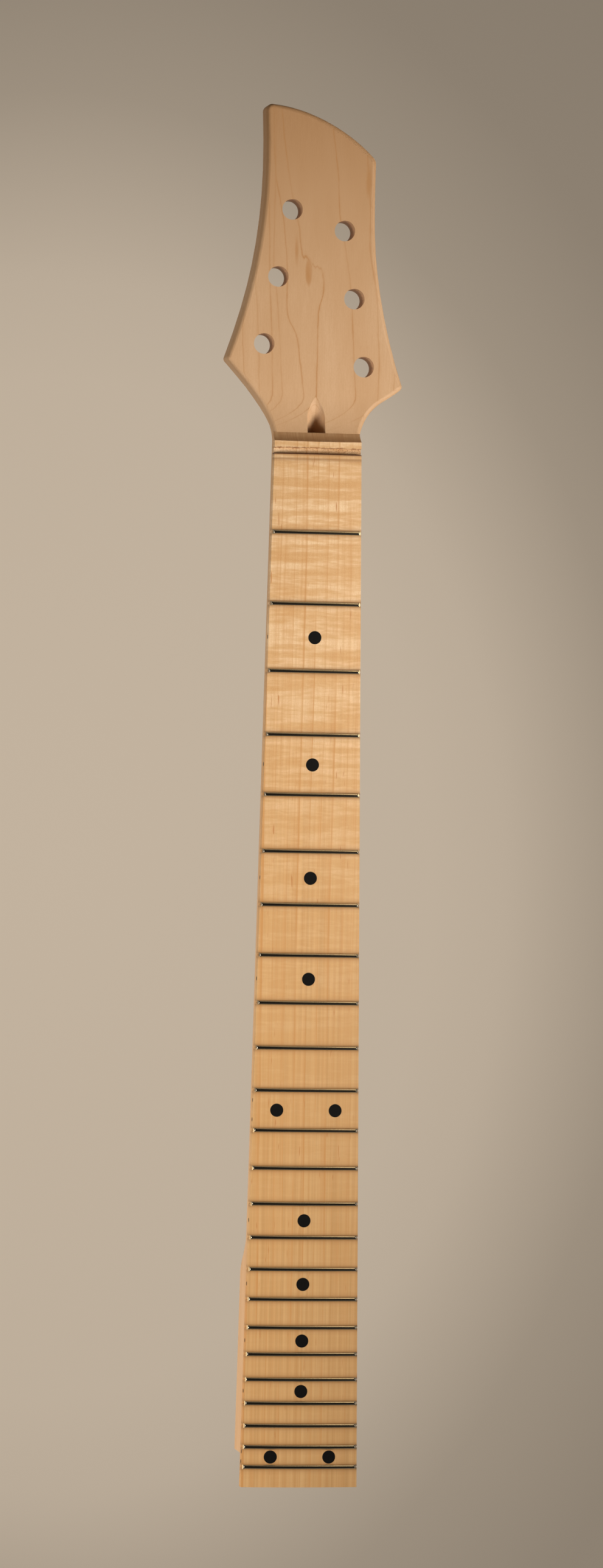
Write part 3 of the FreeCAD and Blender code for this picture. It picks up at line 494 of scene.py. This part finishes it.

# %% [markdown]
# All of this lies on one another like glazes: the plain tone first, darkened towards the heel by
# painted shade, then clouds, bright and dull flame, pores, growth bands, flecks, the painted shade
# along the frets and the saw's marks. The bright flame is also a little glossier than the dull, as
# wood fibres that lie flat are.

# %% Flamed maple, put together
def board_finish():
    made, tree = new_material("flamed_maple")
    across, along, _ = add(tree, "SeparateXYZ", {0: place(tree)}).outputs
    shine, fade = flame(tree, along)
    grit = noise(tree, place(tree, (0.40, 0.55, 0.40)), 2.0, 0.65)
    streak = pores(tree, 0.4, 8.0)
    cloud = noise(tree, place(tree, (10, 70, 10)), 2.0)

    # Painted shade: the board's plain tone darkens towards the heel, for the light that falls off
    # there.
    wood = mix(tree, fade, BOARD_HEEL_SHADE, BOARD_MID)
    wood = mix(tree, calc(tree, "MULTIPLY", cloud, 0.5), wood, BOARD_DEEP)
    lit = ramp(tree, shine, [(0.46, 0.0), (0.60, 1.0)])
    bright = calc(tree, "MULTIPLY", calc(tree, "MULTIPLY", lit, fade),
                  ramp(tree, grit, [(0.30, 0.40), (0.60, 1.0)]))
    wood = mix(tree, bright, wood, BOARD_PALE)
    dull = calc(tree, "MULTIPLY", ramp(tree, shine, [(0.34, 0.65), (0.47, 0.0)]), fade)
    wood = mix(tree, dull, wood, BOARD_DEEP)
    sparkle = calc(tree, "MULTIPLY", ramp(tree, grit, [(0.30, 0.26), (0.50, 0.0)]), fade)
    wood = mix(tree, sparkle, wood, BOARD_PALE)
    wood = mix(tree, ramp(tree, streak, [(0.42, 0.0), (0.75, 0.35)]), wood, BOARD_DEEP)
    plain = calc(tree, "SUBTRACT", 1.0, fade)
    stripe = noise(tree, place(tree, (1.6, 160, 6)), 3.0, 0.65)
    stripe = ramp(tree, stripe, [(0.36, 0.0), (0.64, 1.0)])
    wood = mix(tree, calc(tree, "MULTIPLY_ADD", plain, 0.45, 0.10), wood,
               mix(tree, stripe, BOARD_STRIPE_PALE, BOARD_STRIPE_DEEP))
    for gap, share in ((LINE_GAP, 0.75), (FINE_GAP, 0.35)):
        strength = calc(tree, "MULTIPLY_ADD", plain, 0.25, share)
        bands = calc(tree, "MULTIPLY", board_bands(tree, across, gap), strength)
        wood = mix(tree, bands, wood, BOARD_LINE)
    fleck = ramp(tree, noise(tree, place(tree, (0.9, 12.0, 2.0)), 1.0), [(0.73, 0.0), (0.79, 0.8)])
    wood = mix(tree, fleck, wood, FLECK)
    wood = mix(tree, painted_fret_shade(tree, along), wood, FRET_PAINTED_SHADE)
    wood = slot_marks(tree, wood, across, along)
    rough = calc(tree, "MULTIPLY_ADD", shine, -0.10, 0.54)
    relief = pores(tree, 0.16, 3.0)
    finish_with(tree, {"Base Color": wood, "Roughness": rough, "Specular IOR Level": 0.30},
                relief, 0.03)
    return made


flamed = board_finish()
clothe("fingerboard", flamed)
print("the board's maple has", len(flamed.node_tree.nodes), "nodes")

# %% [markdown]
# ## Fret wire
#
# A fret is a mushroom-shaped wire bent to the board's crown, pressed in, and filed off at a
# slant over the board's edges. It is a mirror, so its profile matters more than its colour:
# a facet would show as a hard stripe. Its metal is warm nickel, with fine rubbing marks
# along the wire that change only how sharply it mirrors.

# %% Fret metal
NICKEL = (0.62, 0.56, 0.45)


def fret_finish():
    made, tree = new_material("polished_fret")
    rub = noise(tree, place(tree, (5.0, 0.12, 0.12)), 2.0, 0.5)
    rough = calc(tree, "MULTIPLY_ADD", rub, 0.08, 0.10)
    finish_with(tree, {"Base Color": NICKEL, "Metallic": 1.0, "Roughness": rough})
    return made


fret_metal = fret_finish()
print("the frets' metal has", len(fret_metal.node_tree.nodes), "nodes")

# %% [markdown]
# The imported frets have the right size, but few faces. These have the same profile with a
# rounder crown. The crown is an arc of a circle, and bmesh's spin draws it from one vertex,
# so its centre and angle are all that has to be worked out. A filed end is a flat cut, for
# which bisect_plane is made, and holes_fill closes it again.

# %% The fret's crown and ends
BOARD_RADIUS = 305.0 * MM
CROWN_HALF = 1.15 * MM
CROWN_HEIGHT = 1.09 * MM
CROWN_STEPS = 14
TANG_HALF = 0.27 * MM
TANG_DEPTH = 1.9 * MM
BEND_STEPS = 36
END_SLOPE = math.radians(33)
END_EASE = 0.10 * MM
SHARP = math.radians(35)


def new_piece(name, body, piece, material):
    mesh = bpy.data.meshes.new(name)
    piece.to_mesh(mesh)
    piece.free()
    mesh.materials.append(material)
    mesh.shade_smooth()
    mesh.set_sharp_from_angle(angle=SHARP)
    made = bpy.data.objects.new(name, mesh)
    bpy.context.scene.collection.objects.link(made)
    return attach(made, body)


def crown_arc(piece, foot, along):
    # One vertex at the foot, spun over the top about the centre of the crown's circle
    radius = (CROWN_HALF ** 2 + CROWN_HEIGHT ** 2) / (2 * CROWN_HEIGHT)
    centre = Vector((0, along, foot + CROWN_HEIGHT - radius))
    half_turn = math.atan2(CROWN_HALF, radius - CROWN_HEIGHT)
    first = piece.verts.new((0, along - CROWN_HALF, foot))
    bmesh.ops.spin(piece, geom=[first], cent=centre, axis=(1, 0, 0), angle=-2 * half_turn,
                   steps=CROWN_STEPS, use_duplicate=False)


def filed_end(piece, side, half, foot):
    # Cuts one end off at a slant and closes it
    slope = Vector((side * math.cos(END_SLOPE), 0, math.sin(END_SLOPE)))
    everything = piece.verts[:] + piece.edges[:] + piece.faces[:]
    corner = Vector((side * half, 0, foot))
    bmesh.ops.bisect_plane(piece, geom=everything, plane_co=corner, plane_no=slope,
                           clear_outer=True)
    bmesh.ops.holes_fill(piece, edges=[edge for edge in piece.edges if edge.is_boundary])


print("a crown is", round(2 * CROWN_HALF / MM, 2), "mm wide and", CROWN_HEIGHT / MM, "mm high")

# %% [markdown]
# The crown and the tang under it make one closed outline. A second spin bends it along the
# wire, about the centre of the board's radius, so that the fret follows the board. Then both
# ends are filed, and the edges that the file leaves get a small bevel, as a fretter's hand
# finds them. The loop does this for each packed fret, at its own place and width.

# %% The frets
def make_fret(node):
    low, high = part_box(node)
    along = (low.y + high.y) / 2
    half = high.x
    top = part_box("fingerboard")[1].z
    piece = bmesh.new()
    crown_arc(piece, top, along)
    ordered = sorted(piece.verts, key=lambda vertex: vertex.co.y)
    tang = [piece.verts.new((0, along + y, top + z)) for y, z in (
        (TANG_HALF, 0), (TANG_HALF, -TANG_DEPTH), (-TANG_HALF, -TANG_DEPTH), (-TANG_HALF, 0))]
    chain = [ordered[-1], *tang, ordered[0]]
    for first, second in zip(chain, chain[1:]):
        piece.edges.new((first, second))
    centre = Vector((0, along, top - BOARD_RADIUS))
    half_bend = math.asin(half / BOARD_RADIUS)
    bmesh.ops.rotate(piece, verts=piece.verts[:], cent=centre,
                     matrix=Matrix.Rotation(-half_bend, 3, "Y"))
    bmesh.ops.spin(piece, geom=piece.verts[:] + piece.edges[:], cent=centre, axis=(0, 1, 0),
                   angle=2 * half_bend, steps=BEND_STEPS, use_duplicate=False)
    bmesh.ops.holes_fill(piece, edges=[edge for edge in piece.edges if edge.is_boundary])
    foot = top - BOARD_RADIUS * (1 - math.cos(half_bend))
    for side in (-1, 1):
        filed_end(piece, side, half, foot)
    bmesh.ops.recalc_face_normals(piece, faces=piece.faces[:])
    eased = [edge for edge in piece.edges if len(edge.link_faces) == 2
             and edge.calc_face_angle() > SHARP
             and min(abs(vertex.co.x) for vertex in edge.verts) > half - 2 * CROWN_HEIGHT
             and min(vertex.co.z for vertex in edge.verts) > foot + END_EASE]
    bmesh.ops.bevel(piece, geom=eased, offset=END_EASE, segments=2, profile=0.5,
                    affect="EDGES", material=-1, clamp_overlap=True)
    made = new_piece(node.replace("fret", "fret_wire"), "neck", piece, fret_metal)
    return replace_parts(made, node)


frets = [make_fret(name) for name in sorted(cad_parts) if name.startswith("fret_")]
print(len(frets), "frets of", len(frets[0].data.polygons), "faces")

# %% [markdown]
# ## Dots
#
# The dots are a black plastic, sanded flush with the board. Sanding leaves faint scuffs that
# dull the gloss, so the black is even from every side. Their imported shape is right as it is
# and only gets its material.

# %% Dots
DOT_BLACK = (0.002, 0.002, 0.002)
DOT_SCUFFED = (0.006, 0.0055, 0.005)


def dot_finish():
    made, tree = new_material("black_dot")
    scuff = noise(tree, place(tree, (0.3, 2.5, 0.3)), 3.0)
    rough = calc(tree, "MULTIPLY_ADD", scuff, 0.2, 0.50)
    plastic = mix(tree, scuff, DOT_BLACK, DOT_SCUFFED)
    finish_with(tree, {"Base Color": plastic, "Roughness": rough, "Specular IOR Level": 0.10},
                scuff, 0.004)
    return made


black = dot_finish()
dots = [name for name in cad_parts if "dot_" in name]
for name in dots:
    clothe(name, black)
print(len(dots), "dots")

# %% [markdown]
# ## Truss rod
#
# The truss rod is plain rolled steel with a blackened socket nut. The board hides all of it
# but the nut, and the dark channel nearly hides that. One function makes both finishes.

# %% Truss rod
ROLLED_STEEL = (0.42, 0.42, 0.43)
BLACKENED_STEEL = (0.045, 0.045, 0.05)


def steel_finish(name, shade, metallic, low_rough):
    made, tree = new_material(name)
    grain = noise(tree, place(tree, (0.4, 3.0, 0.4)), 3.0)
    rough = calc(tree, "MULTIPLY_ADD", grain, 0.2, low_rough)
    colour = mix(tree, grain, shade, tuple(0.7 * part for part in shade))
    finish_with(tree, {"Base Color": colour, "Metallic": metallic, "Roughness": rough}, grain, 0.01)
    return made


bright_steel = steel_finish("rolled_steel", ROLLED_STEEL, 1.0, 0.3)
black_steel = steel_finish("blackened_steel", BLACKENED_STEEL, 0.6, 0.35)
rod_pieces = [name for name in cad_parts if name.startswith("truss_")]
for name in rod_pieces:
    clothe(name, black_steel if name == "truss_nut" else bright_steel)
print(len(rod_pieces), "pieces of the truss rod")

# %% [markdown]
# ## Floor
#
# The floor is pale and warm, and lies well below the neck, so that it shows clear and bright
# through the tuner holes. Its glow holds a painted pool of light in the middle, as a floor under
# two lamps has, with painted shade around it, and gets paler again far off, where only a low view
# reaches. Part of what the camera and the polished metal see of it is a glow, so it keeps that tone
# from every side without more light on the neck. The other part is matte and takes the neck's
# shadow. From below the floor is clear, so that the back of the neck can be seen too.

# %% Floor
FLOOR_SHADE = (0.56, 0.47, 0.37)
FLOOR_DROP = 0.35
FLOOR_HALF = 30.0
FLOOR_GLOW = 0.72
PAINTED_POOL_CENTRE = (-80.0, 220.0, -350.0)
PAINTED_POOL_SIZE = (420.0, 550.0, 1000.0)
# (distance from the painted pool's centre as a share of its reach, tone)
PAINTED_POOL_FALL = [(0.0, 1.02), (0.125, 1.0), (0.15, 0.94), (0.195, 0.60), (0.24, 0.46), (0.30, 0.46),
             (0.50, 0.66), (1.0, 0.80)]
PAINTED_POOL_REACH = 4.0


def floor_finish():
    made, tree = new_material("floor")
    away = add(tree, "VectorMath", {0: place(tree, PAINTED_POOL_SIZE, PAINTED_POOL_CENTRE)},
               operation="LENGTH").outputs["Value"]
    # Painted pool of light: the glow is brighter under the lamps, with painted shade around it.
    fall = ramp(tree, calc(tree, "DIVIDE", away, PAINTED_POOL_REACH), PAINTED_POOL_FALL)
    shade = mix(tree, 1.0, FLOOR_SHADE, fall, "MULTIPLY")
    matte = add(tree, "BsdfDiffuse", {"Color": FLOOR_SHADE}).outputs[0]
    glow = add(tree, "Emission", {"Color": shade}).outputs[0]
    rays = add(tree, "LightPath").outputs
    mirrored = calc(tree, "MAXIMUM", rays["Is Glossy Ray"], rays["Is Transmission Ray"])
    seen = calc(tree, "MAXIMUM", rays["Is Camera Ray"], mirrored)
    share = calc(tree, "MULTIPLY", seen, FLOOR_GLOW)
    top = add(tree, "MixShader", {0: share, 1: matte, 2: glow}).outputs[0]
    under = add(tree, "NewGeometry").outputs["Backfacing"]
    clear = add(tree, "BsdfTransparent").outputs[0]
    whole = add(tree, "MixShader", {0: under, 1: top, 2: clear}).outputs[0]
    add(tree, "OutputMaterial", {"Surface": whole})
    return made


bed = bmesh.new()
bmesh.ops.create_grid(bed, x_segments=1, y_segments=1, size=FLOOR_HALF)
bmesh.ops.translate(bed, verts=bed.verts, vec=(0, 0, -FLOOR_DROP))
floor_mesh = bpy.data.meshes.new("floor")
bed.to_mesh(floor_mesh)
bed.free()
floor = bpy.data.objects.new("floor", floor_mesh)
bpy.context.scene.collection.objects.link(floor)
floor_mesh.materials.append(floor_finish())
print("the floor lies", FLOOR_DROP, "m under the neck")

# %% [markdown]
# ## Light
#
# The light comes from a soft panel at each side and very little from above: polished frets
# mirror what is over them, and in the photograph that is a dark room. The world is pale at
# the horizon and nearly dark at the top. Each panel has a narrow spread and looks at its own
# end of the neck: the treble one at the headstock, the bass one at the heel. That is why the
# board turns from bright on its treble edge to bright on its bass edge as one goes down it.
#
# Four cards do for the frets what a photographer's cards do: each puts one soft gold
# highlight on them, on the filed ends at the treble side, at the bass side near the heel,
# as a thin line along the crowns, and brighter at the treble end of that line. Light
# linking keeps the cards' light off everything else.

# %% Room and lamps
ROOM_SHADE = (0.95, 0.84, 0.70)
ROOM_LEVELS = [(0.0, 0.34), (0.2, 0.20), (0.6, 0.035), (1.0, 0.012)]
LAMP_SHADE = (1.0, 0.94, 0.86)
CARD_SHADE = (1.0, 0.74, 0.42)
# name, place, aim, size, power, spread in degrees
PANELS = [
    ("treble_panel", (0.80, 0.20, 0.74), (0, 0.44, 0), (0.5, 0.5), 1.40, 50.0),
    ("bass_panel", (-0.85, -0.08, 0.62), (0, -0.04, 0), (0.5, 0.5), 2.95, 78.0),
]
CARDS = [
    ("treble_card", (0.52, 0.43, -0.30), (0, 0.43, 0), (0.30, 0.34), 0.75, 180.0),
    ("bass_card", (-0.62, -0.04, -0.14), (0, -0.04, 0), (0.20, 0.26), 0.25, 180.0),
    ("crown_card", (0.30, 1.32, 1.00), (0, 0.20, 0), (0.44, 0.90), 0.50, 180.0),
    ("gold_card", (0.52, 1.28, 1.00), (0, 0.10, 0), (0.16, 0.80), 0.75, 180.0),
]

world = bpy.data.worlds.new("room")
world.use_nodes = True
bpy.context.scene.world = world
background = world.node_tree.nodes["Background"]
rise = add(world.node_tree, "SeparateXYZ", {
    0: add(world.node_tree, "TexCoord").outputs["Generated"]}).outputs[2]
background.inputs[0].default_value = (*ROOM_SHADE, 1.0)
world.node_tree.links.new(ramp(world.node_tree, rise, ROOM_LEVELS), background.inputs[1])


def hang_lamp(name, hung_at, aim, size, power, spread, shade):
    lamp = bpy.data.lights.new(name, "AREA")
    lamp.shape = "RECTANGLE"
    lamp.size, lamp.size_y = size
    lamp.energy = power
    lamp.spread = math.radians(spread)
    lamp.color = shade
    made = bpy.data.objects.new(name, lamp)
    made.matrix_world = look_at(Vector(hung_at), Vector(aim), 0.0)
    made.visible_camera = False
    bpy.context.scene.collection.objects.link(made)
    return made


lit_by_cards = bpy.data.collections.new("lit_by_cards")
for fret in frets:
    lit_by_cards.objects.link(fret)
for panel in PANELS:
    hang_lamp(*panel, LAMP_SHADE)
for card in CARDS:
    hang_lamp(*card, CARD_SHADE).light_linking.receiver_collection = lit_by_cards
print(len(PANELS), "panels and", len(CARDS), "cards")
